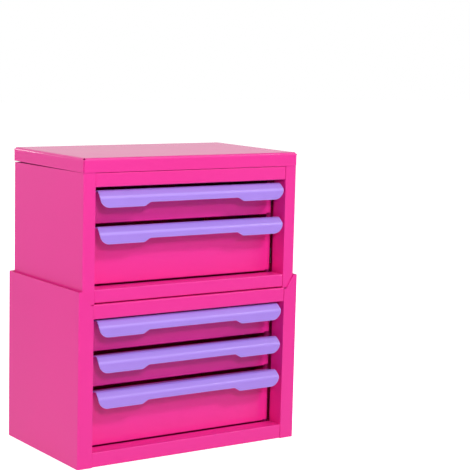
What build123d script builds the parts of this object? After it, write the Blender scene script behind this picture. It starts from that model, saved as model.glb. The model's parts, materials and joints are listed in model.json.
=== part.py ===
"""Two-piece mini tool chest: a lower cabinet with three drawers, and an upper chest with two
drawers and a lift-up lid that stands inside the cabinet's raised rim.
Millimetres. +Z is up, the fronts face -Y, and the origin is under the middle of the whole object."""
import os
from build123d import *

os.makedirs("parts", exist_ok=True)

# Driving dimensions of the two chests
lower_width = 270.0
lower_depth = 158.0
deck_height = 168.0
rim_rise = 13.8
upper_width = 261.0
upper_depth = 153.6
upper_setback = 1.4
body_top = 300.5
lid_height = 14.5
sheet = 0.8
bend = 1.3

# Front frames: posts, rails and the depth that the drawer fronts stand back
lower_post = 17.0
upper_post = 13.7
reveal = 21.0
rail_height = 15.0
top_rail_height = 14.5
lower_ledge = 15.5
rail_setback = 0.6
rail_lift = 1.2
rail_lip = 12.0
ledge_hem = 7.0
seam = 0.3
rear_flange = 11.0
weld_flange = 8.0
ear_foot = 14.0
ear_tip = 4.6
upright_width = 24.0
upright_foot = 6.0
upright_places = (36.0, 118.0)
upright_margin = 9.0

# Drawers
shallow_face = 34.4
tall_face = 60.0
drawer_gap = 2.4
lower_drawer_clear = 0.6
upper_drawer_clear = 1.2
side_gap = 2.0
face_setback = 1.0
face_return = 6.0
corner_notch = (7.0, 1.5)
tray_width = 222.0
tray_depth = 125.0
tray_lift = 1.6
tray_hem = 4.0
shallow_wall = 25.0
tall_wall = 50.4

# Pulls
pull_width = 226.8
pull_height = 17.5
pull_rise = 1.8
pull_sheet = 1.2
pull_proud = 2.6
pull_tip = 4.2
pull_slope = 7.0
pull_flange = 9.2
pull_flange_half = 95.0
pull_end_clear = 3.0
pull_corner = 9.0
grip_rise = 4.0
grip_half_low = 61.0
grip_half_high = 54.0
grip_corner = 2.5
pull_bend = 5.0
pull_rivet_x = 75.0

# Ball-bearing slides, in section from the tray's side outwards
slide_depth = 10.6
runner_depth = 5.2
runner_half = 5.3
rail_half = 8.6
rail_mouth = 1.4
rail_hook = 2.0
cage_sheet = 0.5
cage_half = 6.8
cage_legs = (2.6, 7.6)
ball_radius = 1.05
ball_seat = 3.6
ball_sides = 6
balls_per_leg = 2
ball_pitch = 16.0
slide_height = 15.0
rail_length = 118.5
runner_length = 119.0
cage_length = 30.0
cage_margin = 1.2
rail_overrun = 1.0
drawer_travel = 85.0

# Lid, its hinge and the rivets
lid_overhang = 0.3
lid_proud = 0.2
lid_gap = 0.3
lid_gap_rear = 1.5
lid_bend = 2.8
lid_relief = 0.9
lid_relief_inset = 0.7
lid_relief_depth = 3.2
hinge_length = 200.0
hinge_drop = 0.3
hinge_clear = 0.2
leaf_height = 11.0
leaf_clear = 0.3
knuckles = 10
knuckle_radius = 1.9
barrel_sides = 12
pin_radius = 1.0
pin_play = 0.05
knuckle_play = 0.2
hinge_rivet_x = (-75.0, -25.0, 25.0, 75.0)
rivet_sides = 6
rivet_shank = 1.2
rivet_play = 0.1
rivet_head = 2.3
rivet_crown = 0.9
rivet_crown_taper = 30
rivet_tail = 0.4

# Places that follow from the driving dimensions
hinge_reach = hinge_clear + 2 * knuckle_radius
overall_depth = pull_proud + upper_setback + upper_depth + hinge_reach
lower_front = pull_proud - overall_depth / 2
lower_back = lower_front + lower_depth
upper_front = lower_front + upper_setback
upper_back = upper_front + upper_depth
rim_top = deck_height + rim_rise
lower_half = lower_width / 2
upper_half = upper_width / 2
upper_rail_bottom = body_top - top_rail_height
lid_bottom = body_top + lid_gap
lid_top = lid_bottom + lid_height
lid_half = upper_half + lid_overhang
lid_front = upper_front - lid_proud
tray_half = tray_width / 2
slide_back = tray_half + slide_depth


def save(builder, name):
    builder.part.label = name
    export_step(builder.part, f"parts/{name}.step")


# A bent sheet in section. The points run along one face, and the sheet lies on the given side of them.
def bent_sheet(plane, points, side, radius=bend, thickness=sheet):
    with BuildSketch(plane) as section:
        with BuildLine():
            FilletPolyline(*points, radius=radius)
            offset(amount=thickness, side=side, kind=Kind.INTERSECTION)
        make_face()
    return section.sketch


# Rivets along Y, drawn with few sides, each with its crown on the outside at crown_y and its shank
# through to tail_y
def rivets(places, crown_y, tail_y):
    outwards = 1 if crown_y > tail_y else -1
    with BuildPart() as group:
        for x, z in places:
            with BuildSketch(Plane((x, tail_y, z), x_dir=(1, 0, 0), z_dir=(0, outwards, 0))):
                RegularPolygon(rivet_shank, rivet_sides)
            extrude(amount=abs(crown_y - tail_y))
            with BuildSketch(Plane((x, crown_y, z), x_dir=(1, 0, 0), z_dir=(0, outwards, 0))):
                RegularPolygon(rivet_head, rivet_sides)
            extrude(amount=rivet_crown, taper=rivet_crown_taper)
    return group


# Holes along Y for such rivets, through everything from front_y to back_y
def rivet_holes(places, front_y, back_y):
    with BuildSketch(Plane((0, front_y, 0), x_dir=(1, 0, 0), z_dir=(0, 1, 0))) as holes:
        for x, z in places:
            with Locations((x, -z)):
                RegularPolygon(rivet_shank + rivet_play, rivet_sides)
    return extrude(holes.sketch, amount=back_y - front_y)


# An open box folded from sheet. The closed face lies on the plane, its edges are bent, and the walls
# meet in square corners.
def folded_pan(plane, width, height, depth, radius=bend):
    inwards = Axis(plane.origin, plane.z_dir)
    with BuildPart() as pan:
        with BuildSketch(plane):
            Rectangle(width, height)
        extrude(amount=depth)
        fillet(pan.faces().sort_by(inwards)[0].edges(), radius=radius)
        offset(amount=-sheet, openings=pan.faces().sort_by(inwards)[-1])
    return pan.part


# The plan of a left side: return, post, side wall and rear flange
def side_plan(half, front, back, post, with_return):
    inner_edge = -half + post
    points = [(inner_edge, front), (-half, front), (-half, back - sheet), (-half + rear_flange, back - sheet)]
    if with_return:
        points.insert(0, (inner_edge, front + reveal))
    return points


# Lower cabinet: sides, with the rim's front flange cut down to a slanted ear
with BuildPart() as lower_left_side:
    extrude(
        bent_sheet(Plane.XY, side_plan(lower_half, lower_front, lower_back, lower_post, True), Side.RIGHT),
        amount=deck_height - sheet,
    )
    extrude(
        bent_sheet(
            Plane.XY.offset(deck_height - sheet),
            side_plan(lower_half, lower_front, lower_back, lower_post, False),
            Side.RIGHT,
        ),
        amount=rim_rise + sheet,
    )
    with BuildSketch(Plane.XZ.offset(-lower_front - 2 * sheet)):
        with BuildLine():
            Polyline(
                (-lower_half + ear_foot, deck_height),
                (-lower_half + ear_tip, rim_top),
                (-lower_half + lower_post + 1, rim_top),
                (-lower_half + lower_post + 1, deck_height),
                close=True,
            )
        make_face()
    extrude(amount=4 * sheet, mode=Mode.SUBTRACT)
save(lower_left_side, "lower_left_side")

with BuildPart() as lower_right_side:
    mirror(lower_left_side.part, about=Plane.YZ)
save(lower_right_side, "lower_right_side")

# Lower cabinet: back panel, lapped over the sides' rear flanges
with BuildPart() as lower_back_panel:
    with BuildSketch(Plane.XZ.offset(-lower_back)):
        with Locations((0, rim_top / 2)):
            Rectangle(lower_width - 2 * bend, rim_top)
    extrude(amount=sheet)
save(lower_back_panel, "lower_back_panel")


# A plate between the sides of a chest, from front_y to back_y, with weld flanges along both sides. These
# folds are hidden and left sharp.
def flanged_plate(half, front_y, back_y, level, flange_end, side):
    reach = half - sheet
    points = [(-reach, flange_end), (-reach, level), (reach, level), (reach, flange_end)]
    return extrude(bent_sheet(Plane.XZ.offset(-back_y), points, side, 0), amount=back_y - front_y)


lower_rail_half = lower_half - lower_post - seam
upper_rail_half = upper_half - upper_post - seam
lower_rail_front = lower_front + rail_setback
upper_rail_front = upper_front + rail_setback

# Lower cabinet: deck, folded down at the front into the top rail and back into a lip
deck_plate = flanged_plate(
    lower_half,
    lower_front + reveal + sheet,
    lower_back - 2 * sheet - bend / 2,
    deck_height,
    deck_height - weld_flange,
    Side.RIGHT,
)
with BuildPart() as lower_deck:
    extrude(
        bent_sheet(
            Plane.YZ,
            [
                (lower_front + rail_lip, deck_height - rail_height),
                (lower_rail_front, deck_height - rail_height),
                (lower_rail_front, deck_height),
                (lower_front + reveal + 2 * sheet, deck_height),
            ],
            Side.RIGHT,
        ),
        amount=lower_rail_half,
        both=True,
    )
    add(deck_plate)
    with BuildSketch(Plane.XY.offset(deck_height)):
        with Locations((0, lower_rail_front + sheet + seam)):
            Rectangle(
                lower_width - 2 * sheet - 2 * seam,
                reveal + sheet,
                align=(Align.CENTER, Align.MIN),
            )
    extrude(amount=-sheet)
save(lower_deck, "lower_deck")


# A base pan: floor, bottom rail folded up at the front, and the rail's ledge with its hem. The rail's foot
# stands lift above the floor, and a joggle takes it down.
def base_pan(half, rail_half_width, front, back, floor, ledge, lift=0):
    rail_front = front + rail_setback
    joggle = [(front + reveal / 2, floor + lift), (front + reveal / 2 + 2 * lift, floor)] if lift else []
    floor_plate = flanged_plate(
        half,
        front + reveal + sheet,
        back - 2 * sheet - bend / 2,
        floor,
        floor + weld_flange,
        Side.LEFT,
    )
    with BuildPart() as pan:
        extrude(
            bent_sheet(
                Plane.YZ,
                [
                    (front + reveal, ledge - ledge_hem),
                    (front + reveal, ledge),
                    (rail_front, ledge),
                    (rail_front, floor + lift),
                    *joggle,
                    (front + reveal + 2 * sheet, floor),
                ],
                Side.LEFT,
            ),
            amount=rail_half_width,
            both=True,
        )
        add(floor_plate)
    return pan


lower_base_pan = base_pan(lower_half, lower_rail_half, lower_front, lower_back, 0, lower_ledge)
save(lower_base_pan, "lower_base_pan")

# Upper chest: sides, whose top edge falls towards the back
with BuildPart() as upper_left_side:
    extrude(
        bent_sheet(
            Plane.XY.offset(deck_height),
            side_plan(upper_half, upper_front, upper_back, upper_post, True),
            Side.RIGHT,
        ),
        amount=body_top - deck_height,
    )
    with BuildSketch(Plane.YZ.offset(-upper_half - 1)):
        with BuildLine():
            Polyline(
                (upper_front + reveal + 2 * sheet, body_top),
                (upper_back + 1, body_top),
                (upper_back + 1, body_top - lid_gap_rear + lid_gap),
                close=True,
            )
        make_face()
    extrude(amount=upper_half, mode=Mode.SUBTRACT)
save(upper_left_side, "upper_left_side")

with BuildPart() as upper_right_side:
    mirror(upper_left_side.part, about=Plane.YZ)
save(upper_right_side, "upper_right_side")

# Upper chest: back panel, drilled for the hinge
hinge_y = upper_back + hinge_clear + knuckle_radius
hinge_z = body_top - hinge_drop
body_leaf_top = hinge_z - knuckle_radius - leaf_clear
lid_leaf_bottom = hinge_z + knuckle_radius + leaf_clear
body_hinge_rivets = [(x, body_leaf_top - leaf_height / 2) for x in hinge_rivet_x]
lid_hinge_rivets = [(x, lid_leaf_bottom + leaf_height / 2) for x in hinge_rivet_x]
back_panel_top = body_top - lid_gap_rear + lid_gap

with BuildPart() as upper_back_panel:
    with BuildSketch(Plane.XZ.offset(-upper_back)):
        with Locations((0, (deck_height + back_panel_top) / 2)):
            Rectangle(upper_width - 2 * bend, back_panel_top - deck_height)
    extrude(amount=sheet)
    add(rivet_holes(body_hinge_rivets, upper_back - 2 * sheet, upper_back + sheet), mode=Mode.SUBTRACT)
save(upper_back_panel, "upper_back_panel")

# Upper chest: tray floor under the lid, folded up at the front into the top rail
tray_plate = flanged_plate(
    upper_half,
    upper_front + reveal + sheet,
    upper_back - 2 * sheet - bend / 2,
    upper_rail_bottom,
    upper_rail_bottom + weld_flange,
    Side.LEFT,
)
with BuildPart() as upper_tray_floor:
    extrude(
        bent_sheet(
            Plane.YZ,
            [
                (upper_front + rail_lip, body_top),
                (upper_rail_front, body_top),
                (upper_rail_front, upper_rail_bottom),
                (upper_front + reveal + 2 * sheet, upper_rail_bottom),
            ],
            Side.LEFT,
        ),
        amount=upper_rail_half,
        both=True,
    )
    add(tray_plate)
save(upper_tray_floor, "upper_tray_floor")

upper_base_pan = base_pan(
    upper_half,
    upper_rail_half,
    upper_front,
    upper_back,
    deck_height,
    deck_height + rail_height,
    rail_lift,
)
save(upper_base_pan, "upper_base_pan")


# Hat-section uprights on a left side, which carry the slide rails. Like the slides, they are hidden, so
# their folds are left sharp.
def uprights(half, front, bottom, top):
    wall = -half + sheet
    crown = -slide_back - sheet
    with BuildPart() as pair:
        for place in upright_places:
            start = front + place
            end = start + upright_width
            points = [
                (wall, start),
                (wall, start + upright_foot),
                (crown, start + upright_foot),
                (crown, end - upright_foot),
                (wall, end - upright_foot),
                (wall, end),
            ]
            extrude(bent_sheet(Plane.XY.offset(bottom), points, Side.RIGHT, 0), amount=top - bottom)
    return pair


for chest, half, front, bottom, top in (
    ("lower", lower_half, lower_front, upright_margin, deck_height - upright_margin),
    ("upper", upper_half, upper_front, deck_height + upright_margin, upper_rail_bottom - sheet),
):
    left = uprights(half, front, bottom, top)
    save(left, f"{chest}_left_uprights")
    with BuildPart() as right:
        mirror(left.part, about=Plane.YZ)
    save(right, f"{chest}_right_uprights")

# Lid: a folded pan with a bend-relief hole at each corner of its top
lid_depth = upper_back - lid_front
lid_plane = Plane((0, lid_front + lid_depth / 2, lid_top), x_dir=(1, 0, 0), z_dir=(0, 0, -1))
with BuildPart() as lid_pan:
    add(folded_pan(lid_plane, 2 * lid_half, lid_depth, lid_height, lid_bend))
    with BuildSketch(lid_plane):
        with GridLocations(2 * (lid_half - lid_relief_inset), lid_depth - 2 * lid_relief_inset, 2, 2):
            RegularPolygon(lid_relief, rivet_sides)
    extrude(amount=lid_relief_depth, mode=Mode.SUBTRACT)
    add(rivet_holes(lid_hinge_rivets, upper_back - 2 * sheet, upper_back + sheet), mode=Mode.SUBTRACT)
save(lid_pan, "lid_pan")


# One hinge leaf: a plate on the back, and every other knuckle of the barrel, drawn with few sides
def hinge_leaf(plate_low, plate_high, first_knuckle, holes):
    knuckle_length = hinge_length / knuckles
    neck_low = min(hinge_z, plate_low)
    neck_high = max(hinge_z, plate_high)
    with BuildPart() as leaf:
        with BuildSketch(Plane.XZ.offset(-upper_back)):
            with Locations((0, (plate_low + plate_high) / 2)):
                Rectangle(hinge_length, plate_high - plate_low)
        extrude(amount=-sheet)
        for index in range(first_knuckle, knuckles, 2):
            middle = (index + 0.5) * knuckle_length - hinge_length / 2
            with BuildSketch(Plane((middle, hinge_y, hinge_z), x_dir=(0, 1, 0), z_dir=(1, 0, 0))):
                RegularPolygon(knuckle_radius, barrel_sides)
            extrude(amount=knuckle_length / 2 - knuckle_play, both=True)
            with BuildSketch(Plane.XZ.offset(-upper_back)):
                with Locations((middle, (neck_low + neck_high) / 2)):
                    Rectangle(knuckle_length - 2 * knuckle_play, neck_high - neck_low)
            extrude(amount=-sheet)
        with BuildSketch(Plane((0, hinge_y, hinge_z), x_dir=(0, 1, 0), z_dir=(1, 0, 0))):
            RegularPolygon(pin_radius + pin_play, barrel_sides, major_radius=False)
        extrude(amount=hinge_length, both=True, mode=Mode.SUBTRACT)
        add(rivet_holes(holes, upper_back - sheet, upper_back + 2 * sheet), mode=Mode.SUBTRACT)
    return leaf


save(hinge_leaf(body_leaf_top - leaf_height, body_leaf_top, 0, body_hinge_rivets), "hinge_body_leaf")
save(hinge_leaf(lid_leaf_bottom, lid_leaf_bottom + leaf_height, 1, lid_hinge_rivets), "hinge_lid_leaf")

with BuildPart() as hinge_pin:
    with BuildSketch(Plane((0, hinge_y, hinge_z), x_dir=(0, 1, 0), z_dir=(1, 0, 0))):
        RegularPolygon(pin_radius, barrel_sides)
    extrude(amount=hinge_length / 2 + knuckle_play, both=True)
    for end in (-1, 1):
        head_start = end * (hinge_length / 2)
        with BuildSketch(Plane((head_start, hinge_y, hinge_z), x_dir=(0, 1, 0), z_dir=(end, 0, 0))):
            RegularPolygon(pin_radius * 1.5, barrel_sides)
        extrude(amount=pin_radius)
save(hinge_pin, "hinge_pin")

save(rivets(body_hinge_rivets, upper_back + sheet, upper_back - sheet), "hinge_body_rivets")
save(rivets(lid_hinge_rivets, upper_back + sheet, upper_back - sheet), "hinge_lid_rivets")


# A drawer front: a shallow pan with bent edges and relief notches at its lower corners
def drawer_front(face_y, bottom, width, height, holes):
    face = Plane((0, face_y, bottom + height / 2), x_dir=(1, 0, 0), z_dir=(0, 1, 0))
    with BuildPart() as panel:
        add(folded_pan(face, width, height, face_return))
        with BuildSketch(Plane.XZ.offset(-face_y - face_return)):
            for end in (-1, 1):
                with Locations((end * (width - corner_notch[0]) / 2, bottom + corner_notch[1] / 2)):
                    Rectangle(*corner_notch)
        extrude(amount=face_return, mode=Mode.SUBTRACT)
        add(rivet_holes(holes, face_y - sheet, face_y + 2 * sheet), mode=Mode.SUBTRACT)
    return panel


# A drawer tray: floor and four walls, with a folded hem round the top
def drawer_tray(face_y, bottom, wall):
    front_wall = face_y + sheet
    length = tray_depth - sheet
    middle = front_wall + length / 2
    with BuildPart() as tray:
        add(folded_pan(Plane((0, middle, bottom + tray_lift)), tray_width, length, wall))
        with BuildSketch(Plane.XY.offset(bottom + tray_lift + wall - tray_hem)):
            with Locations((0, middle)):
                Rectangle(tray_width - sheet, length - sheet)
                Rectangle(tray_width - 4 * sheet, length - 4 * sheet, mode=Mode.SUBTRACT)
        extrude(amount=tray_hem)
    return tray


# A pull: flange on the drawer front, leg rising to the crown, slanted facet and lip, with a grip cut into
# the lip. The flange stops short of both ends, where the leg has a free rear edge.
def drawer_pull(front, face_y, top, holes):
    half = pull_width / 2
    crown = top + pull_rise
    low = crown - pull_height
    end_length = half - pull_flange_half
    section = [
        (face_y, top - pull_flange),
        (face_y, top),
        (front + pull_tip, crown),
        (front - pull_proud, crown - pull_slope),
        (front - pull_proud, low),
    ]
    outline = [
        (-half, crown + 1),
        (half, crown + 1),
        (half, low),
        (grip_half_low, low),
        (grip_half_high, low + grip_rise),
        (-grip_half_high, low + grip_rise),
        (-grip_half_low, low),
        (-half, low),
    ]
    grip_corners = 4 * [grip_corner]
    with BuildPart() as pull:
        extrude(
            bent_sheet(Plane.YZ, section, Side.LEFT, (2 * sheet, pull_bend, pull_bend), pull_sheet),
            amount=half,
            both=True,
        )
        with BuildSketch(Plane.XZ.offset(-face_y - 1)):
            with BuildLine():
                FilletPolyline(
                    *outline,
                    radius=(0, 0, pull_corner, *grip_corners, pull_corner),
                    close=True,
                )
            make_face()
        extrude(amount=face_y - front + pull_proud + 2, mode=Mode.INTERSECT)
        with BuildSketch(Plane.XY.offset(top - pull_flange - 1)):
            for end in (-1, 1):
                with Locations((end * (half - end_length / 2), face_y - pull_end_clear / 2)):
                    Rectangle(end_length, pull_end_clear)
        extrude(amount=pull_height, mode=Mode.SUBTRACT)
        add(rivet_holes(holes, face_y - 2 * pull_sheet, face_y + sheet), mode=Mode.SUBTRACT)
    return pull


# A pair of slide members, one on each side, from their section on the right
def slide_pair(points, side, thickness, rear_y, length):
    with BuildPart() as pair:
        extrude(
            bent_sheet(Plane.XZ.offset(-rear_y), points, side, 0, thickness),
            amount=length,
        )
        mirror(about=Plane.YZ)
    return pair


def drawer_runners(level, rear_y):
    points = [
        (tray_half + runner_depth, level - runner_half),
        (tray_half, level - runner_half),
        (tray_half, level + runner_half),
        (tray_half + runner_depth, level + runner_half),
    ]
    return slide_pair(points, Side.RIGHT, sheet, rear_y, runner_length)


def slide_rails(level, rear_y):
    mouth = tray_half + rail_mouth
    points = [
        (mouth, level - rail_half + rail_hook),
        (mouth, level - rail_half),
        (slide_back, level - rail_half),
        (slide_back, level + rail_half),
        (mouth, level + rail_half),
        (mouth, level + rail_half - rail_hook),
    ]
    return slide_pair(points, Side.LEFT, sheet, rear_y, rail_length)


# Ball cages: a bent strip with its balls, as small faceted beads, seated along both legs
def ball_cages(level, rear_y):
    inner = tray_half + cage_legs[0]
    outer = tray_half + cage_legs[1]
    race = (runner_half + rail_half - sheet) / 2
    points = [
        (inner, level - cage_half),
        (outer, level - cage_half),
        (outer, level + cage_half),
        (inner, level + cage_half),
    ]
    with BuildPart() as ball:
        with BuildSketch():
            RegularPolygon(ball_radius, ball_sides)
        extrude(amount=ball_radius, both=True)
    with BuildPart() as cages:
        extrude(
            bent_sheet(Plane.XZ.offset(-rear_y), points, Side.LEFT, 0, cage_sheet),
            amount=cage_length,
        )
        for leg in (-1, 1):
            for index in range(balls_per_leg):
                along = rear_y - cage_length / 2 + (index - (balls_per_leg - 1) / 2) * ball_pitch
                with Locations((tray_half + ball_seat, along, level + leg * race)):
                    add(ball.part)
        mirror(about=Plane.YZ)
    return cages


# The five drawers, each with its slides. Stacks are listed from the bottom up.
lower_stack = [("drawer_5", tall_face), ("drawer_4", shallow_face), ("drawer_3", shallow_face)]
upper_stack = [("drawer_2", tall_face), ("drawer_1", shallow_face)]
for stack, front, bottom, opening_half in (
    (lower_stack, lower_front, lower_ledge + lower_drawer_clear, lower_half - lower_post),
    (upper_stack, upper_front, deck_height + rail_height + upper_drawer_clear, upper_half - upper_post),
):
    face_y = front + reveal + face_setback
    face_width = 2 * (opening_half - side_gap)
    for name, height in stack:
        top = bottom + height
        wall = tall_wall if height == tall_face else shallow_wall
        holes = [(x, top - pull_flange / 2) for x in (-pull_rivet_x, pull_rivet_x)]
        slide_rear = face_y + tray_depth + sheet
        level = bottom + slide_height
        save(drawer_tray(face_y, bottom, wall), f"{name}_tray")
        save(drawer_front(face_y, bottom, face_width, height, holes), f"{name}_front")
        save(drawer_pull(front, face_y, top, holes), f"{name}_pull")
        save(rivets(holes, face_y - pull_sheet, face_y + sheet + rivet_tail), f"{name}_pull_rivets")
        save(drawer_runners(level, slide_rear), f"{name}_runners")
        save(slide_rails(level, slide_rear + rail_overrun), f"{name}_slide_rails")
        save(ball_cages(level, slide_rear - drawer_travel / 2 - cage_margin), f"{name}_ball_cages")
        bottom = top + drawer_gap
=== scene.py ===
import bpy
import bmesh
import json
from math import radians
from mathutils import Matrix, Vector


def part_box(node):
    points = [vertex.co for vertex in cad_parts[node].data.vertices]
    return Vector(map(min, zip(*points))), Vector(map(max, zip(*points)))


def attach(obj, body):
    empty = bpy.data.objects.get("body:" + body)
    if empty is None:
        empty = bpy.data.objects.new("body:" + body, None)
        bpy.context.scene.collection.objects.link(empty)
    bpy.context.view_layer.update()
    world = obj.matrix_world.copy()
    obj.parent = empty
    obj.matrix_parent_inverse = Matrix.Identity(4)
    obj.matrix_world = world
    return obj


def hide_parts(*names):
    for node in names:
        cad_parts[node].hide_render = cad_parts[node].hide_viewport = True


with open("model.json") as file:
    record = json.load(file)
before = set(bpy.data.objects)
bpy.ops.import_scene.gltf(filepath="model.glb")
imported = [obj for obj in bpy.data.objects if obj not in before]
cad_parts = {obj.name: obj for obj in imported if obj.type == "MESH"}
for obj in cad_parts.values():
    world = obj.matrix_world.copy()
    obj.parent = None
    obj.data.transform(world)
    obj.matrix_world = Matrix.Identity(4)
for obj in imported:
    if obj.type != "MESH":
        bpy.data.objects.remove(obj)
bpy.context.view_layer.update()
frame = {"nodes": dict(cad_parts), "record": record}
nodes = frame["nodes"]
mm = 0.001  # pieces are given in millimetres; finishes, camera and studio are in metres
drawerNumbers = range(1, 6)  # from the top
upperDrawers = (1, 2)
print("frame loaded:", len(nodes), "nodes")


# a socket that takes part in sums, so that shader maths reads as plain expressions
class Val:
    def __init__(self, board, socket):
        self.board = board
        self.socket = socket

    def math(self, operation, other):
        return self.board.node("ShaderNodeMath", {"operation": operation}, {0: self, 1: other})

    def __add__(self, other):
        return self.math("ADD", other)

    def __mul__(self, other):
        return self.math("MULTIPLY", other)

    __radd__ = __add__
    __rmul__ = __mul__

    # another output of the same node
    def beside(self, output):
        return Val(self.board, self.socket.node.outputs[output])


# the node tree of one material or of the world
class Board:
    def __init__(self, tree):
        self.tree = tree
        tree.nodes.clear()

    def node(self, kind, settings=None, inputs=None, out=0):
        made = self.tree.nodes.new(kind)
        for key, value in (settings or {}).items():
            setattr(made, key, value)
        for key, value in (inputs or {}).items():
            if isinstance(value, Val):
                self.tree.links.new(value.socket, made.inputs[key])
            else:
                made.inputs[key].default_value = value
        return Val(self, made.outputs[out]) if made.outputs else None

    def mix(self, factor, first, second):
        return self.node(
            "ShaderNodeMix",
            {"data_type": "RGBA"},
            {0: factor, 6: first, 7: second},
            out=2,
        )

    # goes evenly from the first level to the second while the value crosses the span
    def slope(self, value, span, levels):
        inputs = {0: value, 1: span[0], 2: span[1], 3: levels[0], 4: levels[1]}
        return self.node("ShaderNodeMapRange", None, inputs)


def newMaterial(name):
    material = bpy.data.materials.new(name)
    material.use_nodes = True
    return material, Board(material.node_tree)


# glossy powder coat: a slightly uneven colour, a painted highlight along cut edges, and a fine orange peel
def paintMaterial(look):
    material, board = newMaterial(look["name"])
    place = board.node("ShaderNodeTexCoord", out=3)
    cloud = board.node("ShaderNodeTexNoise", None, {0: place, "Scale": look["cloudScale"], "Detail": 3.0})
    peel = board.node("ShaderNodeTexNoise", None, {0: place, "Scale": look["peelScale"], "Detail": 2.0})
    # painted highlight: the marked cut-edge strips are mixed toward a paler colour
    edge = board.node("ShaderNodeAttribute", {"attribute_name": "cutEdgeGlint"}, out=2)
    body = board.mix(cloud, look["colourLow"], look["colourHigh"])
    colour = board.mix(edge * look["glintShare"], body, look["glintColour"])
    bump = board.node(
        "ShaderNodeBump",
        None,
        {"Strength": look["peelStrength"], "Distance": look["peelDepth"], "Height": peel},
    )
    shader = board.node(
        "ShaderNodeBsdfPrincipled",
        None,
        {
            "Base Color": colour,
            "Roughness": look["roughness"] + look["roughnessSpread"] * cloud,
            "IOR": 1.5,
            "Coat Weight": look["coat"],
            "Coat Roughness": look["coatRoughness"],
            "Normal": bump,
        },
    )
    board.node("ShaderNodeOutputMaterial", None, {0: shader})
    return material


# plated steel with faint spangles
def steelMaterial(look):
    material, board = newMaterial(look["name"])
    place = board.node("ShaderNodeTexCoord", out=3)
    spangle = board.node("ShaderNodeTexVoronoi", None, {0: place, "Scale": look["spangleScale"]}, out=1)
    tone = board.node("ShaderNodeSeparateColor", None, {0: spangle})
    shader = board.node(
        "ShaderNodeBsdfPrincipled",
        None,
        {
            "Base Color": board.mix(tone, look["colourLow"], look["colourHigh"]),
            "Roughness": look["roughness"] + look["roughnessSpread"] * tone,
            "Metallic": 1.0,
        },
    )
    board.node("ShaderNodeOutputMaterial", None, {0: shader})
    return material


pinkLook = {
    "name": "pinkPaint",
    "colourLow": (0.90, 0.012, 0.320, 1.0),
    "colourHigh": (0.95, 0.016, 0.345, 1.0),
    # painted highlight on the cut edges: a paler pink
    "glintColour": (1.0, 0.03, 0.42, 1.0),
    "glintShare": 0.5,
    "cloudScale": 9.0,
    "peelScale": 900.0,
    "peelStrength": 0.12,
    "peelDepth": 0.0002,
    "roughness": 0.50,
    "roughnessSpread": 0.08,
    "coat": 0.5,
    "coatRoughness": 0.14,
}
lavenderLook = {
    "name": "lavenderPaint",
    "colourLow": (0.40, 0.235, 0.85, 1.0),
    "colourHigh": (0.44, 0.26, 0.90, 1.0),
    # painted highlight on the cut edges: a paler lavender
    "glintColour": (0.95, 0.60, 1.0, 1.0),
    "glintShare": 0.15,
    "cloudScale": 14.0,
    "peelScale": 900.0,
    "peelStrength": 0.12,
    "peelDepth": 0.0002,
    "roughness": 0.40,
    "roughnessSpread": 0.08,
    "coat": 0.6,
    "coatRoughness": 0.14,
}
zincLook = {
    "name": "zincSteel",
    "colourLow": (0.56, 0.57, 0.60, 1.0),
    "colourHigh": (0.70, 0.71, 0.73, 1.0),
    "spangleScale": 220.0,
    "roughness": 0.28,
    "roughnessSpread": 0.12,
}
cageLook = {
    "name": "ballCage",
    "colourLow": (0.42, 0.42, 0.44, 1.0),
    "colourHigh": (0.55, 0.55, 0.57, 1.0),
    "spangleScale": 400.0,
    "roughness": 0.32,
    "roughnessSpread": 0.10,
}
finishes = {
    "pink_paint": paintMaterial(pinkLook),
    "lavender_paint": paintMaterial(lavenderLook),
    "zinc_steel": steelMaterial(zincLook),
    "ball_cage": steelMaterial(cageLook),
}

for row in frame["record"]["subparts"]:
    mesh = nodes[row["node"]].data
    mesh.materials.clear()
    mesh.materials.append(finishes[row["material_slot"]])
print("finishes on the frame:", len(finishes))


# a new piece begins as a plane, merged into the one vertex that its outline is drawn from
def startPiece(name, point):
    bpy.ops.object.select_all(action="DESELECT")
    bpy.ops.mesh.primitive_plane_add(size=2 * mm, location=Vector(point) * mm)
    piece = bpy.context.object
    piece.name = name
    bpy.ops.object.transform_apply(location=True, rotation=True, scale=True)
    bpy.ops.object.mode_set(mode="EDIT")
    bpy.ops.mesh.select_mode(type="VERT")
    bpy.ops.mesh.select_all(action="SELECT")
    bpy.ops.mesh.merge(type="CENTER")
    return piece


# extrudes what is selected
def pull(step):
    bpy.ops.mesh.extrude_region_move(TRANSFORM_OT_translate={"value": Vector(step) * mm})


# edges through the points, from the piece's first vertex
def drawChain(points):
    for start, end in zip(points, points[1:]):
        pull(Vector(end) - Vector(start))


# the corners of a level rectangle, in turn
def rectangle(low, high, level):
    corners = [(low.x, low.y), (high.x, low.y), (high.x, high.y), (low.x, high.y)]
    return [(x, y, level) for x, y in corners]


# a closed outline, filled into one face
def drawOutline(points):
    drawChain(points)
    bpy.ops.mesh.select_all(action="SELECT")
    bpy.ops.mesh.edge_face_add()


# selects vertices, edges or faces whose middle, in millimetres, passes the test
def pick(piece, kind, test):
    bpy.ops.mesh.select_mode(type=kind)
    bpy.ops.mesh.select_all(action="DESELECT")
    shape = bmesh.from_edit_mesh(piece.data)
    parts = {"VERT": shape.verts, "EDGE": shape.edges, "FACE": shape.faces}[kind]
    for part in parts:
        corners = [part.co] if kind == "VERT" else [v.co for v in part.verts]
        if test(sum(corners, Vector()) / len(corners) / mm):
            part.select_set(True)
    bmesh.update_edit_mesh(piece.data)


slack = 0.02  # two places this close count as the same


def near(a, b, within=slack):
    return abs(a - b) < within


def pickAllEdges():
    bpy.ops.mesh.select_mode(type="EDGE")
    bpy.ops.mesh.select_all(action="SELECT")


def bevel(reach, steps, affect):
    bpy.ops.mesh.bevel(
        offset_type="OFFSET",
        offset=reach * mm,
        segments=steps,
        profile=0.5,
        affect=affect,
    )


# rounds the selected edges into bends
def fold(reach, steps=5):
    bevel(reach, steps, "EDGES")


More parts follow.
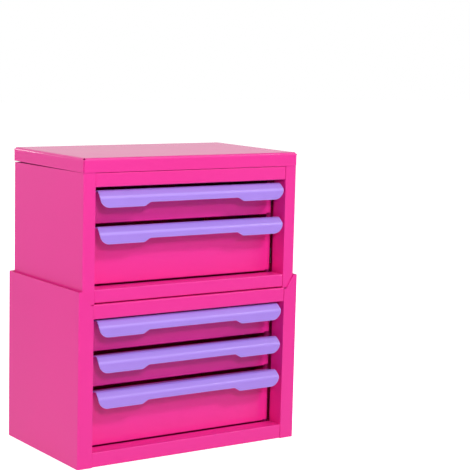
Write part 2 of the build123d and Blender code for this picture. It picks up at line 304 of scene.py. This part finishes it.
# rounds the selected corners of a flat sheet
def roundCorner(reach, steps=7):
    bevel(reach, steps, "VERTICES")


def move(step):
    bpy.ops.transform.translate(value=Vector(step) * mm)


def addModifier(kind, **settings):
    bpy.ops.object.modifier_add(type=kind)
    modifier = bpy.context.object.modifiers[-1]
    for key, value in settings.items():
        setattr(modifier, key, value)
    bpy.ops.object.modifier_apply(modifier=modifier.name)


# how sheets are finished: widths in millimetres, angles in degrees
sheetFinish = {"weld": 0.004, "edgeSteps": 2, "sharpFrom": 50, "smoothTo": 60}


# merges vertices that tight folds or cuts bring together
def weld(reach):
    bpy.ops.object.mode_set(mode="EDIT")
    bpy.ops.mesh.select_all(action="SELECT")
    bpy.ops.mesh.remove_doubles(threshold=reach * mm)
    bpy.ops.object.mode_set(mode="OBJECT")


# turns all faces so that the one at the place points along the direction, then gives the sheet its
# thickness behind them and rounds its cut edges
def thicken(piece, place, direction, sheet, edge):
    bpy.ops.mesh.select_all(action="SELECT")
    bpy.ops.mesh.normals_make_consistent(inside=False)
    bpy.ops.object.mode_set(mode="OBJECT")
    face = min(piece.data.polygons, key=lambda f: (f.center / mm - Vector(place)).length)
    if face.normal.dot(Vector(direction)) < 0:
        piece.data.flip_normals()
    addModifier("SOLIDIFY", thickness=sheet * mm, offset=-1.0, use_even_offset=True)
    finishEdges(edge)


# rounds the sharp edges, and marks the rounded strips for a painted highlight, a paler paint colour on them
def finishEdges(edge):
    mesh = bpy.context.object.data
    mesh.materials.append(finishes["pink_paint"])
    mesh.materials.append(finishes["pink_paint"])
    addModifier(
        "BEVEL",
        width=edge * mm,
        segments=sheetFinish["edgeSteps"],
        limit_method="ANGLE",
        angle_limit=radians(sheetFinish["sharpFrom"]),
        material=1,
    )
    weld(sheetFinish["weld"])
    bpy.ops.object.shade_smooth_by_angle(angle=radians(sheetFinish["smoothTo"]))
    addModifier("WEIGHTED_NORMAL", keep_sharp=True)
    # the marked strips carry the painted highlight in the paint
    marks = mesh.attributes.new("cutEdgeGlint", "FLOAT", "FACE")
    for face, mark in zip(mesh.polygons, marks.data):
        mark.value = face.material_index
        face.material_index = 0


# hands the piece its body, its finish and the CAD nodes that it stands for
def settle(piece, body, slotName, *stands):
    piece.data.materials.clear()
    piece.data.materials.append(finishes[slotName])
    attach(piece, body)
    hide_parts(*stands)


# a copy with its own mesh, moved by a step in metres
def copyPiece(piece, name, step):
    bpy.ops.object.select_all(action="DESELECT")
    piece.select_set(True)
    bpy.context.view_layer.objects.active = piece
    bpy.ops.object.duplicate(linked=False)
    copy = bpy.context.object
    copy.name = name
    bpy.ops.transform.translate(value=step)
    bpy.ops.object.transform_apply(location=True, rotation=True, scale=True)
    return copy


# drawer pulls, in section: lip, slanted facet, leg sloping back to the drawer, and flange
pullLook = {
    "halfWidth": 112.9,
    "height": 17.5,
    "slope": 7.0,
    "crownBack": 7.0,
    "faceBack": 24.6,
    "legFall": 3.4,
    "flange": 9.2,
    "flangeHalf": 95.0,
    "endClear": 3.0,
    "endTaper": 0.8,
    "endSlant": 2.6,
    "sheet": 1.2,
    "corner": 8.2,
    "gripLow": 61.0,
    "gripHigh": 54.0,
    "gripRise": 4.0,
    "gripCorner": 1.2,
    "lipFold": 2.4,
    "crownFold": 2.8,
    "flangeFold": 1.4,
    "edge": 0.45,
}


def makePull(look):
    half, inner = look["halfWidth"], look["flangeHalf"]
    crease = look["height"] - look["slope"]
    low, high, rise = look["gripLow"], look["gripHigh"], look["gripRise"]
    outline = [(-half, 0, crease), (-inner, 0, crease), (inner, 0, crease), (half, 0, crease)]
    foot = half - look["endSlant"]
    outline += [(foot, 0, 0), (low, 0, 0), (high, 0, rise), (-high, 0, rise), (-low, 0, 0), (-foot, 0, 0)]
    piece = startPiece("pull", outline[0])
    drawOutline(outline)
    pick(piece, "VERT", lambda p: near(p.z, 0) and near(abs(p.x), foot))
    roundCorner(look["corner"])
    pick(piece, "VERT", lambda p: near(abs(p.x), low) or near(abs(p.x), high))
    roundCorner(look["gripCorner"], steps=4)
    pick(piece, "EDGE", lambda p: near(p.z, crease))
    pull((0, look["crownBack"], look["slope"]))
    legBack = look["faceBack"] - look["crownBack"]
    short = 1 - look["endClear"] / legBack
    pull((0, legBack * short, -look["legFall"] * short))
    legEnd = look["faceBack"] - look["endClear"]
    pick(piece, "EDGE", lambda p: near(p.y, legEnd) and near(p.x, 0))
    pull((0, look["endClear"], -look["legFall"] * (1 - short)))
    pull((0, 0, -look["flange"]))
    for hand in (-1, 1):
        pick(piece, "VERT", lambda p: near(p.x, hand * half) and p.y > look["crownBack"] - slack)
        move((-hand * look["endTaper"], 0, 0))
    pick(piece, "EDGE", lambda p: near(p.y, 0) and near(p.z, crease))
    fold(look["lipFold"], steps=7)
    pick(piece, "EDGE", lambda p: near(p.y, look["crownBack"]) and near(p.z, look["height"]))
    fold(look["crownFold"], steps=7)
    pick(piece, "EDGE", lambda p: near(p.y, look["faceBack"]) and near(p.z, look["height"] - look["legFall"]))
    fold(look["flangeFold"])
    thicken(piece, (0, 0, crease / 2), (0, -1, 0), look["sheet"], look["edge"])
    return piece


firstPull = makePull(pullLook)
for number in drawerNumbers:
    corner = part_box(f"drawer_{number}_pull")[0]
    pullPiece = copyPiece(firstPull, f"drawerPull{number}", (0.0, corner.y, corner.z))
    settle(pullPiece, f"drawer_{number}", "lavender_paint", f"drawer_{number}_pull")
bpy.data.objects.remove(firstPull)
print("pulls ready")


# drawer fronts: shallow pans with soft folds, and relief notches at their lower corners
frontLook = {
    "depth": 6.0,
    "underPull": 2.8,
    "wider": 0.5,
    "notchWidth": 7.0,
    "notchHeight": 1.5,
    "fold": 1.3,
    "sideFold": 2.8,
    "sheet": 0.8,
    "edge": 0.15,
}


def makeFront(look, name, low, high):
    half, top = high.x / mm + look["wider"], high.z / mm - look["underPull"]
    face, bottom = low.y / mm, low.z / mm
    inner = half - look["notchWidth"]
    step = bottom + look["notchHeight"]
    right = [(half, face, top), (half, face, step), (inner, face, step), (inner, face, bottom)]
    outline = right + [(-x, y, z) for x, y, z in reversed(right)]
    piece = startPiece(name, outline[0])
    drawOutline(outline)

    def level(p):
        return near(p.y, face) and (near(p.z, top) or near(p.z, bottom))

    def upright(p):
        return near(p.y, face) and near(abs(p.x), half)

    pick(piece, "EDGE", lambda p: level(p) or upright(p))
    pull((0, look["depth"], 0))
    pick(piece, "EDGE", upright)
    fold(look["sideFold"], steps=7)
    pick(piece, "EDGE", level)
    fold(look["fold"])
    thicken(piece, (0, face, (bottom + top) / 2), (0, -1, 0), look["sheet"], look["edge"])
    return piece


for number in drawerNumbers:
    low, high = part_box(f"drawer_{number}_front")
    front = makeFront(frontLook, f"drawerFront{number}", low, high)
    settle(front, f"drawer_{number}", "pink_paint", f"drawer_{number}_front")
print("drawer fronts ready")


# lid: a folded pan whose walls meet in open corners, each with a bend-relief hole above it
lidLook = {
    "fold": 2.8,
    "sheet": 0.8,
    "edge": 0.1,
    "seamClose": 0.1,
    "cornerGap": 0.95,
    "cornerTop": 0.6,
    "relief": 1.2,
    "holeWeld": 0.03,
}


def makeLid(look):
    low, high = [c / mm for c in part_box("lid_pan")]
    low.z -= look["seamClose"]
    outline = rectangle(low, high, high.z)
    piece = startPiece("lidPan", outline[0])
    drawOutline(outline)
    pickAllEdges()
    pull((0, 0, low.z - high.z))
    pick(piece, "FACE", lambda p: near(p.z, low.z))
    bpy.ops.mesh.delete(type="ONLY_FACE")
    pick(piece, "EDGE", lambda p: near(p.z, high.z))
    fold(look["fold"], steps=7)

    def corner(p):
        return near(abs(p.x), high.x) and (near(p.y, low.y) or near(p.y, high.y))

    bpy.ops.mesh.select_all(action="SELECT")
    openFrom = high.z - look["fold"] - look["cornerTop"]
    bpy.ops.mesh.bisect(plane_co=(0, 0, openFrom * mm), plane_no=(0, 0, 1))
    pick(piece, "EDGE", corner)
    bpy.ops.mesh.edge_split(type="EDGE")
    middle = (low + high) / 2
    # draws the ends of the walls back from their shared corners, which opens the slots
    for axis in (0, 1):
        pick(piece, "VERT", lambda p: corner(p) and p.z < openFrom + slack)
        shape = bmesh.from_edit_mesh(piece.data)
        for vertex in shape.verts:
            along = all(near(face.normal[axis], 0, within=0.1) for face in vertex.link_faces)
            vertex.select_set(vertex.select and along)
        bmesh.update_edit_mesh(piece.data)
        shrink = [1.0, 1.0, 1.0]
        shrink[axis] = 1 - 2 * look["cornerGap"] / (high - low)[axis]
        bpy.ops.transform.resize(value=shrink, center_override=middle * mm)
    thicken(piece, (middle.x, middle.y, high.z), (0, 0, 1), look["sheet"], look["edge"])
    for x in (low.x, high.x):
        for y in (low.y, high.y):
            diagonal = Vector((1 if x > 0 else -1, 1 if y > 0 else -1, 1))
            bendCentre = Vector((x, y, high.z)) - look["fold"] * diagonal
            outwards = diagonal.normalized()
            drillHole(piece, bendCentre + look["fold"] * outwards, outwards, look["relief"], 2 * look["fold"])
    weld(look["holeWeld"])
    return piece


# a hole along the direction, cut with a cylinder
def drillHole(piece, place, direction, radius, depth):
    bpy.ops.object.select_all(action="DESELECT")
    bpy.ops.mesh.primitive_cylinder_add(
        vertices=20,
        radius=radius * mm,
        depth=depth * mm,
        location=Vector(place) * mm,
        rotation=direction.to_track_quat("Z", "Y").to_euler(),
    )
    cutter = bpy.context.object
    bpy.context.view_layer.objects.active = piece
    addModifier("BOOLEAN", object=cutter, operation="DIFFERENCE", solver="EXACT")
    bpy.data.objects.remove(cutter)


lidPiece = makeLid(lidLook)
settle(lidPiece, "lid", "pink_paint", "lid_pan")
print("lid ready")


# cabinet sides: inner return, front post, wall and rear flange
sideLook = {
    "reveal": 21.0,
    "rearFlange": 11.0,
    "fold": 1.3,
    "openingFold": 0.5,
    "sheet": 0.8,
    "edge": 0.15,
    "deck": 167.2,
    "earFoot": 14.0,
    "earTip": 4.6,
    "rearFall": 1.2,
}


def makeSide(look, name, node, withRim):
    low, high = [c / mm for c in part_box(node)]
    hand = 1 if low.x > 0 else -1
    wall, inner = max(abs(low.x), abs(high.x)) * hand, min(abs(low.x), abs(high.x)) * hand
    front, back, bottom = low.y, high.y, low.z
    top = look["deck"] if withRim else high.z
    ear = wall - hand * look["earFoot"]
    plan = [(inner, front + look["reveal"]), (inner, front), (ear, front), (wall, front), (wall, back)]
    plan.append((wall - hand * look["rearFlange"], back))
    if not withRim:
        plan.pop(2)
    piece = startPiece(name, (*plan[0], bottom))
    drawChain([(x, y, bottom) for x, y in plan])
    pickAllEdges()
    pull((0, 0, top - bottom))
    if withRim:
        pick(piece, "EDGE", lambda p: near(p.z, top) and abs(p.x) > abs(ear) - slack)
        pull((0, 0, high.z - top))
        pick(piece, "VERT", lambda p: near(p.z, high.z) and near(p.x, ear))
        move((hand * (look["earFoot"] - look["earTip"]), 0, 0))
    else:
        pick(piece, "VERT", lambda p: near(p.z, top) and near(p.y, back))
        move((0, 0, -look["rearFall"]))
    pick(piece, "EDGE", lambda p: near(p.x, wall) and (near(p.y, front) or near(p.y, back)))
    fold(look["fold"])
    pick(piece, "EDGE", lambda p: near(p.x, inner) and near(p.y, front))
    fold(look["openingFold"], steps=3)
    thicken(piece, (wall, (front + back) / 2, bottom), (hand, 0, 0), look["sheet"], look["edge"])
    return piece


for chest, body, withRim in (("lower", "lower_cabinet", True), ("upper", "upper_chest", False)):
    for hand in ("left", "right"):
        node = f"{chest}_{hand}_side"
        side = makeSide(sideLook, f"{chest}{hand.title()}Side", node, withRim)
        settle(side, body, "pink_paint", node)
print("sides ready")


# plates between the sides, each folded at the front into a rail: deck, tray floor and base pans
railLook = {
    "lowerHalf": 117.7,
    "upperHalf": 116.5,
    "setback": 0.6,
    "fold": 1.3,
    "sheet": 0.8,
    "edge": 0.15,
    "lip": 12.0,
    "reveal": 21.0,
    "behindPost": 0.8,
    "weldFlange": 8.0,
    "deckRail": 15.0,
    "deckWiden": 2.0,
    "ledgeDrop": 7.0,
    "joggle": 10.5,
    "upperLift": 1.2,
}


# section runs from the rail's free edge to the back of the plate, as (y, z)
# the plate is wider behind wideFrom
def makeRail(look, name, section, railHalf, plateHalf, wideFrom, flangeUp):
    piece = startPiece(name, (-railHalf, *section[0]))
    drawChain([(-railHalf, y, z) for y, z in section])
    pickAllEdges()
    pull((2 * railHalf, 0, 0))
    level = section[-1][1]
    for hand in (-1, 1):
        pick(piece, "EDGE", lambda p: near(p.x, hand * railHalf) and near(p.z, level) and p.y > wideFrom)
        pull((hand * (plateHalf - railHalf), 0, 0))
        pull((0, 0, look["weldFlange"] * flangeUp))
    corners = section[1:-2]

    def folded(p):
        onRail = any(near(p.y, y) and near(p.z, z) for y, z in corners)
        return onRail or (near(abs(p.x), plateHalf) and near(p.z, level))

    pick(piece, "EDGE", folded)
    fold(look["fold"])
    return piece


def makeDeck(look):
    low, high = [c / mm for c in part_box("lower_deck")]
    front, top, bottom = low.y, high.z, high.z - look["deckRail"]
    lip, wide = front + look["lip"] - look["setback"], front + look["deckWiden"]
    section = [(lip, bottom), (front, bottom), (front, top), (wide, top), (high.y, top)]
    piece = makeRail(look, "lowerDeck", section, look["lowerHalf"], high.x, wide, -1)
    thicken(piece, (0, front, (top + bottom) / 2), (0, -1, 0), look["sheet"], look["edge"])
    return piece


def makeTrayFloor(look):
    low, high = [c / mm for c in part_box("upper_tray_floor")]
    front, top, bottom = low.y, high.z, low.z
    post = front - look["setback"]
    lip, wide = post + look["lip"], post + look["reveal"] + look["behindPost"]
    section = [(lip, top), (front, top), (front, bottom), (wide, bottom), (high.y, bottom)]
    piece = makeRail(look, "upperTrayFloor", section, look["upperHalf"], high.x, wide, 1)
    thicken(piece, (0, front, (top + bottom) / 2), (0, -1, 0), look["sheet"], look["edge"])
    return piece


# lift raises the rail's lower edge above the pan's floor, with a joggle between them
def makeBasePan(look, name, node, railHalf, lift):
    low, high = [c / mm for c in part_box(node)]
    front, ledge, floor = low.y, high.z, low.z
    back = front - look["setback"] + look["reveal"]
    wide, turn = back + look["behindPost"], back - look["joggle"]
    section = [(back, ledge - look["ledgeDrop"]), (back, ledge), (front, ledge), (front, floor + lift)]
    if lift:
        section += [(turn, floor + lift), (turn + 2 * lift, floor)]
    section += [(wide, floor), (high.y, floor)]
    piece = makeRail(look, name, section, railHalf, high.x, wide, 1)
    thicken(piece, (0, front, (ledge + floor) / 2), (0, -1, 0), look["sheet"], look["edge"])
    return piece


settle(makeDeck(railLook), "lower_cabinet", "pink_paint", "lower_deck")
settle(makeTrayFloor(railLook), "upper_chest", "pink_paint", "upper_tray_floor")
lowerHalf, upperHalf, upperLift = railLook["lowerHalf"], railLook["upperHalf"], railLook["upperLift"]
lowerPan = makeBasePan(railLook, "lowerBasePan", "lower_base_pan", lowerHalf, 0)
settle(lowerPan, "lower_cabinet", "pink_paint", "lower_base_pan")
upperPan = makeBasePan(railLook, "upperBasePan", "upper_base_pan", upperHalf, upperLift)
settle(upperPan, "upper_chest", "pink_paint", "upper_base_pan")
print("rails ready")


# joins several objects into the first
def joinPieces(pieces, name):
    bpy.ops.object.select_all(action="DESELECT")
    for piece in pieces:
        piece.select_set(True)
    bpy.context.view_layer.objects.active = pieces[0]
    bpy.ops.object.join()
    pieces[0].name = name
    return pieces[0]


# drawer trays: folded pans with a hem turned over round the top
trayLook = {"fold": 1.3, "hemWidth": 1.6, "hemDrop": 4.0, "hemFold": 0.6, "sheet": 0.75, "edge": 0.12}


def makeTray(look, name, node):
    low, high = [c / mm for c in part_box(node)]
    middle = (low + high) / 2
    size = high - low
    outline = rectangle(low, high, low.z)
    piece = startPiece(name, outline[0])
    drawOutline(outline)
    pickAllEdges()
    pull((0, 0, size.z))
    pull((0, 0, 0))  # a second rim in the same place, which the hem starts from
    inwards = (1 - 2 * look["hemWidth"] / size.x, 1 - 2 * look["hemWidth"] / size.y, 1)
    bpy.ops.transform.resize(value=inwards, center_override=middle * mm)
    pull((0, 0, -look["hemDrop"]))
    pick(piece, "FACE", lambda p: near(p.z, high.z - look["hemDrop"]))
    bpy.ops.mesh.delete(type="ONLY_FACE")
    pick(piece, "EDGE", lambda p: near(p.z, high.z) and (near(p.x, middle.x) or near(p.y, middle.y)))
    fold(look["hemFold"], steps=3)
    pick(piece, "EDGE", lambda p: near(p.z, low.z))
    fold(look["fold"], steps=4)
    thicken(piece, (middle.x, middle.y, low.z), (0, 0, -1), look["sheet"], look["edge"])
    return piece


for number in drawerNumbers:
    node = f"drawer_{number}_tray"
    settle(makeTray(trayLook, f"drawerTray{number}", node), f"drawer_{number}", "pink_paint", node)
print("trays ready")


# slides: rails on the cabinet, runners on the drawers and ball cages between them, all rolled strips
slideLook = {
    "sheet": 0.75,
    "cageSheet": 0.5,
    "fold": 0.8,
    "edge": 0.1,
    "hook": 2.0,
    "mouth": 1.4,
    "cageHalf": 6.8,
    "cageClear": 2.6,
    "ball": 1.05,
    "ballSeat": 3.6,
    "ballRace": 6.55,
    "ballPitch": 5.5,
    "balls": 5,
    "ballSides": 14,
    "ballRings": 8,
    "trayHalf": 111.0,
}


# one strip on each side, from its section (x, z) on the right
# facing is 1 where the section is the face away from the drawer, and -1 where it is the face on the drawer
def makeStrips(look, name, section, low, high, sheet, facing):
    strips = []
    for hand in (1, -1):
        points = [(hand * x, low.y, z) for x, z in section]
        piece = startPiece(name, points[0])
        drawChain(points)
        pickAllEdges()
        pull((0, high.y - low.y, 0))
        inner = section[1:-1]
        pick(piece, "EDGE", lambda p: any(near(p.x, hand * x) and near(p.z, z) for x, z in inner))
        fold(look["fold"], steps=3)
        web = section[len(section) // 2]
        place = (hand * web[0], (low.y + high.y) / 2, (low.z + high.z) / 2)
        thicken(piece, place, (hand * facing, 0, 0), sheet, look["edge"])
        strips.append(piece)
    return joinPieces(strips, name)


def makeRails(look, name, node):
    low, high = [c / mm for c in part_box(node)]
    back, mouth, hook = high.x, look["trayHalf"] + look["mouth"], look["hook"]
    section = [(mouth, low.z + hook), (mouth, low.z), (back, low.z), (back, high.z), (mouth, high.z)]
    section.append((mouth, high.z - hook))
    return makeStrips(look, name, section, low, high, look["sheet"], 1)


def makeRunners(look, name, node):
    low, high = [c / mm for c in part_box(node)]
    section = [(high.x, low.z), (look["trayHalf"], low.z), (look["trayHalf"], high.z), (high.x, high.z)]
    return makeStrips(look, name, section, low, high, look["sheet"], -1)


def makeCages(look, name, node):
    low, high = [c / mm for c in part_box(node)]
    level = (low.z + high.z) / 2
    bottom, top = level - look["cageHalf"], level + look["cageHalf"]
    inner, outer = look["trayHalf"] + look["cageClear"], high.x
    section = [(inner, bottom), (outer, bottom), (outer, top), (inner, top)]
    pieces = [makeStrips(look, name, section, low, high, look["cageSheet"], 1)]
    middle = (low.y + high.y) / 2
    bpy.ops.object.select_all(action="DESELECT")
    bpy.ops.mesh.primitive_uv_sphere_add(
        segments=look["ballSides"],
        ring_count=look["ballRings"],
        radius=look["ball"] * mm,
    )
    ball = bpy.context.object
    bpy.ops.object.shade_smooth()
    seat = look["trayHalf"] + look["ballSeat"]
    for hand in (-1, 1):
        for leg in (-1, 1):
            for index in range(look["balls"]):
                along = middle + (index - (look["balls"] - 1) / 2) * look["ballPitch"]
                place = Vector((hand * seat, along, level + leg * look["ballRace"]))
                pieces.append(copyPiece(ball, "ball", place * mm))
    bpy.data.objects.remove(ball)
    return joinPieces(pieces, name)


for number in drawerNumbers:
    chest = "upper_chest" if number in upperDrawers else "lower_cabinet"
    rails = makeRails(slideLook, f"slideRails{number}", f"drawer_{number}_slide_rails")
    settle(rails, chest, "zinc_steel", f"drawer_{number}_slide_rails")
    runners = makeRunners(slideLook, f"runners{number}", f"drawer_{number}_runners")
    settle(runners, f"drawer_{number}", "zinc_steel", f"drawer_{number}_runners")
    cages = makeCages(slideLook, f"ballCages{number}", f"drawer_{number}_ball_cages")
    settle(cages, f"drawer_{number}_cages", "ball_cage", f"drawer_{number}_ball_cages")
print("slides ready")


# piano hinge: each leaf is a plate whose tongues are rolled round the pin
hingeLook = {
    "length": 200.0,
    "knuckles": 10,
    "play": 0.2,
    "radius": 1.9,
    "root": 2.2,
    "roll": 290,
    "rollSteps": 14,
    "corner": 1.5,
    "sheet": 0.75,
    "edge": 0.12,
}


# first is the leaf's first knuckle, and up is 1 where the knuckles are at the leaf's top
def makeLeaf(look, name, node, first, up):
    low, high = [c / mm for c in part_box(node)]
    axisZ = (high.z - look["radius"]) if up > 0 else (low.z + look["radius"])
    axisY = high.y - look["radius"]
    free = low.z if up > 0 else high.z
    rooted, face = axisZ - up * look["root"], low.y
    half, step = look["length"] / 2, look["length"] / look["knuckles"]
    bounds = []
    for index in range(first, look["knuckles"], 2):
        bounds += [index * step - half + look["play"], (index + 1) * step - half - look["play"]]
    middles = [(a + b) / 2 for a, b in zip(bounds[::2], bounds[1::2])]
    outline = [(x, face, rooted) for x in (-half, *bounds, half)] + [(half, face, free), (-half, face, free)]
    piece = startPiece(name, outline[0])
    drawOutline(outline)
    pick(piece, "VERT", lambda p: near(p.z, free))
    roundCorner(look["corner"], steps=4)
    pick(piece, "EDGE", lambda p: near(p.z, rooted) and any(near(p.x, x) for x in middles))
    pull((0, axisY - look["radius"] - face, up * look["root"]))
    bpy.ops.mesh.spin(
        steps=look["rollSteps"],
        angle=radians(look["roll"]),
        center=Vector((0, axisY, axisZ)) * mm,
        axis=(up, 0, 0),
    )
    thicken(piece, (0, face, (rooted + free) / 2), (0, -1, 0), look["sheet"], look["edge"])
    return piece


bodyLeaf = makeLeaf(hingeLook, "hingeBodyLeaf", "hinge_body_leaf", 0, 1)
settle(bodyLeaf, "upper_chest", "pink_paint", "hinge_body_leaf")
lidLeaf = makeLeaf(hingeLook, "hingeLidLeaf", "hinge_lid_leaf", 1, -1)
settle(lidLeaf, "lid", "pink_paint", "hinge_lid_leaf")
print("hinge ready")


# rivets: a domed head on a shank, with its axis along Y
rivetLook = {
    "head": 2.3,
    "crown": 0.9,
    "domeShare": 0.8,
    "shank": 1.2,
    "sides": 24,
    "smoothTo": 50,
    "hingePlaces": (-75.0, -25.0, 25.0, 75.0),
    "pullPlaces": (-75.0, 75.0),
    "pullDrop": 1.2,
}


def makeRivet(look, length):
    bpy.ops.object.select_all(action="DESELECT")
    bpy.ops.mesh.primitive_cylinder_add(
        vertices=look["sides"],
        radius=look["head"] * mm,
        depth=look["crown"] * mm,
        location=(0, look["crown"] / 2 * mm, 0),
        rotation=(radians(90), 0, 0),
    )
    piece = bpy.context.object
    bpy.ops.object.transform_apply(location=True, rotation=True, scale=True)
    bpy.ops.object.mode_set(mode="EDIT")
    pick(piece, "FACE", lambda p: near(p.y, look["crown"]) and near(p.x, 0) and near(p.z, 0))
    fold(look["domeShare"] * look["crown"], steps=4)
    pick(piece, "FACE", lambda p: near(p.y, 0) and near(p.x, 0) and near(p.z, 0))
    bpy.ops.mesh.inset(thickness=(look["head"] - look["shank"]) * mm)
    pull((0, -length, 0))
    bpy.ops.object.mode_set(mode="OBJECT")
    bpy.ops.object.shade_smooth_by_angle(angle=radians(look["smoothTo"]))
    return piece


# rivets of one node, with their heads at the back if facing is 1 and at the front if it is -1
def makeRivets(look, name, node, places, facing, drop=0.0):
    low, high = [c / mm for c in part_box(node)]
    first = makeRivet(look, high.y - low.y - look["crown"])
    if facing < 0:
        bpy.ops.transform.rotate(value=radians(180), orient_axis="Z", center_override=(0, 0, 0))
        bpy.ops.object.transform_apply(location=True, rotation=True, scale=True)
    seat = high.y - look["crown"] if facing > 0 else low.y + look["crown"]
    level = (low.z + high.z) / 2 - drop
    copies = [copyPiece(first, "rivet", Vector((x, seat, level)) * mm) for x in places]
    bpy.data.objects.remove(first)
    return joinPieces(copies, name)


bodyRivets = makeRivets(rivetLook, "hingeBodyRivets", "hinge_body_rivets", rivetLook["hingePlaces"], 1)
settle(bodyRivets, "upper_chest", "zinc_steel", "hinge_body_rivets")
lidRivets = makeRivets(rivetLook, "hingeLidRivets", "hinge_lid_rivets", rivetLook["hingePlaces"], 1)
settle(lidRivets, "lid", "zinc_steel", "hinge_lid_rivets")
for number in drawerNumbers:
    node, name = f"drawer_{number}_pull_rivets", f"pullRivets{number}"
    pullRivets = makeRivets(rivetLook, name, node, rivetLook["pullPlaces"], -1, rivetLook["pullDrop"])
    settle(pullRivets, f"drawer_{number}", "lavender_paint", node)
print("rivets ready")


# camera, fitted to the edges of the object in the photo
shot = {
    "image": 470,
    "focalPixels": 1509.2,
    "sensor": 36.0,
    "place": (-0.8474, -1.3794, 0.4377),
    "turn": -34.25,
    "elevation": 7.81,
    "roll": 1.37,
    "centrePixel": (225, 243),
}


def addCamera():
    data = bpy.data.cameras.new("camera")
    camera = bpy.data.objects.new("camera", data)
    bpy.context.scene.collection.objects.link(camera)
    half = shot["image"] / 2
    data.sensor_width = shot["sensor"]
    data.sensor_fit = "HORIZONTAL"
    data.lens = shot["focalPixels"] / shot["image"] * shot["sensor"]
    data.shift_x = (half - shot["centrePixel"][0]) / shot["image"]
    data.shift_y = (shot["centrePixel"][1] - half) / shot["image"]
    data.clip_start = 0.05
    data.clip_end = 50.0
    turned = (
        Matrix.Rotation(radians(shot["turn"]), 4, "Z")
        @ Matrix.Rotation(radians(90 - shot["elevation"]), 4, "X")
        @ Matrix.Rotation(radians(shot["roll"]), 4, "Z")
    )
    camera.matrix_world = Matrix.Translation(shot["place"]) @ turned
    bpy.context.scene.camera = camera


addCamera()
print("camera placed")


# soft studio light: a key above the front right, fills at the camera, the left, the right, behind and above,
# and a small spark at the right
# the paint mirrors a room that is darker in front than behind, with a bright strip overhead in front, and a
# floor that is brighter close to the object
studio = {
    "ambient": 0.24,
    "backdropSpan": (-0.5, 0.5),
    "backdropLevels": (0.22, 0.95),
    "overhead": 2.0,
    "overheadFront": (-0.1, -0.5),
    "overheadRise": (0.25, 0.6),
    "floorSize": 14.0,
    "floorDrop": 0.0005,
    "floorColour": (0.92, 0.92, 0.92, 1.0),
    "floorGlow": 0.9,
    "floorSpan": (-1.0, 1.0),
    "floorLevels": (0.18, 0.5),
    "closeSpan": (0.2, 1.0),
    "closeLevel": 0.3,
    "lamps": [
        {"name": "key", "from": (0.46, -1.66, 1.51), "size": 0.35, "power": 14.0},
        {"name": "cameraFill", "from": (-0.75, -1.77, 0.95), "size": 0.3, "power": 12.0},
        {"name": "leftFill", "from": (-1.92, 0.15, 0.70), "size": 0.8, "power": 11.5},
        {"name": "topFill", "from": (0.1, 0.8, 1.8), "size": 0.9, "power": 0.8},
        {"name": "backFill", "from": (0.0, 1.9, 0.33), "size": 0.8, "power": 8.0},
        {"name": "rightFill", "from": (1.85, -1.35, 0.6), "size": 0.8, "power": 4.0},
        {"name": "spark", "from": (0.97, -1.04, 1.04), "size": 0.14, "power": 0.6},
    ],
    "aim": (0.0, -0.05, 0.18),
}
white = (1.0, 1.0, 1.0, 1.0)


def addWorld():
    world = bpy.data.worlds.new("studio")
    bpy.context.scene.world = world
    world.use_nodes = True
    board = Board(world.node_tree)
    toCamera = board.node("ShaderNodeLightPath")
    glossy = toCamera.beside("Is Glossy Ray")
    clear = toCamera.beside("Is Transmission Ray")
    ambient = board.node("ShaderNodeBackground", None, {0: white, 1: studio["ambient"]})
    way = board.node("ShaderNodeTexCoord")
    behind = board.node("ShaderNodeSeparateXYZ", None, {0: way}, out=1)
    above = behind.beside(2)
    level = board.slope(behind, studio["backdropSpan"], studio["backdropLevels"])
    inFront = board.slope(behind, studio["overheadFront"], (0.0, studio["overhead"]))
    high = board.slope(above, studio["overheadRise"], (0.0, 1.0))
    mirrored = board.node("ShaderNodeBackground", None, {0: level + inFront * high, 1: 1.0})
    seen = board.node("ShaderNodeBackground", None, {0: white, 1: 1.0})
    inPiece = board.node("ShaderNodeMixShader", None, {0: glossy, 1: ambient, 2: mirrored})
    mixed = board.node("ShaderNodeMixShader", None, {0: toCamera.math("MAXIMUM", clear), 1: inPiece, 2: seen})
    board.node("ShaderNodeOutputWorld", None, {0: mixed})


def addFloor():
    bpy.ops.object.select_all(action="DESELECT")
    bpy.ops.mesh.primitive_plane_add(size=studio["floorSize"], location=(0.0, 0.0, -studio["floorDrop"]))
    floor = bpy.context.object
    floor.name = "floor"
    material, board = newMaterial("floorPaper")
    toCamera = board.node("ShaderNodeLightPath")
    glossy = toCamera.beside("Is Glossy Ray")
    paper = board.node("ShaderNodeBsdfDiffuse", None, {0: studio["floorColour"]})
    glow = board.node("ShaderNodeEmission", None, {0: toCamera * studio["floorGlow"], 1: 1.0})
    lit = board.node("ShaderNodeAddShader", None, {0: paper, 1: glow})
    place = board.node("ShaderNodeTexCoord", out=3)
    behind = board.node("ShaderNodeSeparateXYZ", None, {0: place}, out=1)
    level = board.slope(behind, studio["floorSpan"], studio["floorLevels"])
    distance = board.node("ShaderNodeVectorMath", {"operation": "LENGTH"}, {0: place}, out=1)
    close = board.slope(distance, studio["closeSpan"], (studio["closeLevel"], 0.0))
    mirrored = board.node("ShaderNodeEmission", None, {0: level + close, 1: 1.0})
    mixed = board.node("ShaderNodeMixShader", None, {0: glossy, 1: lit, 2: mirrored})
    board.node("ShaderNodeOutputMaterial", None, {0: mixed})
    floor.data.materials.append(material)


def addLamps():
    aim = Vector(studio["aim"])
    for lamp in studio["lamps"]:
        data = bpy.data.lights.new(lamp["name"], "AREA")
        data.shape = "DISK"
        data.size = lamp["size"]
        data.energy = lamp["power"]
        light = bpy.data.objects.new(lamp["name"], data)
        bpy.context.scene.collection.objects.link(light)
        light.location = lamp["from"]
        light.rotation_euler = (aim - light.location).to_track_quat("-Z", "Y").to_euler()


addWorld()
addFloor()
addLamps()
bpy.context.scene.view_settings.view_transform = "Standard"
print("studio ready")
